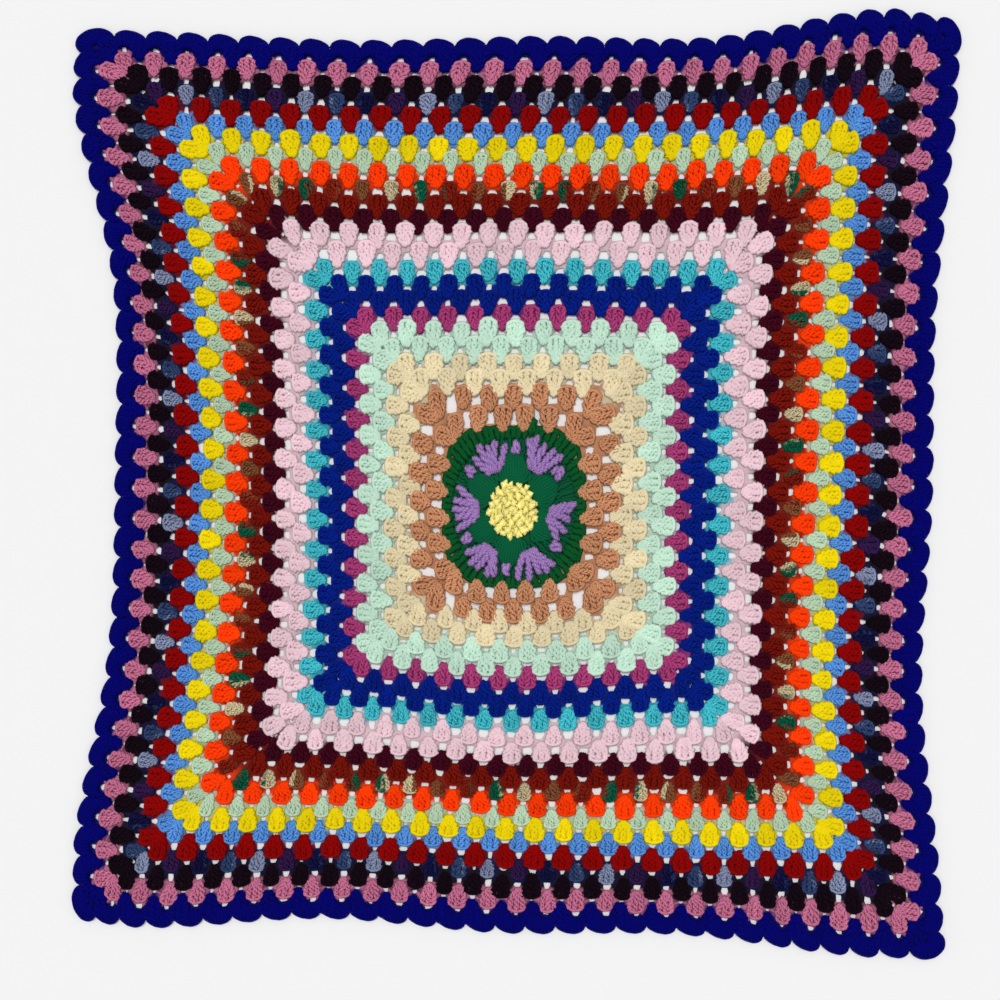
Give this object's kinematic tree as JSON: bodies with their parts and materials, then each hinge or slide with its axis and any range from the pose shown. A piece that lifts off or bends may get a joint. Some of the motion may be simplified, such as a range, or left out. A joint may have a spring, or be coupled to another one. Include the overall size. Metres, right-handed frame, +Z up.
{
  "type": "granny square blanket",
  "caption": "Square crocheted lap blanket lying flat: rounds of granny clusters in striped yarns about a raised flower, with a scalloped shell edging.",
  "frame": {"origin": "on the surface, under the middle of the blanket's bounding box", "axes": "+Z up out of the blanket's face, +Y towards its top edge, +X towards its right edge, seen from above"},
  "size_m": [0.88, 0.9384, 0.0124],
  "materials": {
    "yarn": "matte acrylic yarn in many colours"
  },
  "bodies": {
    "root": {"blanket": "yarn"}
  },
  "joints": []
}
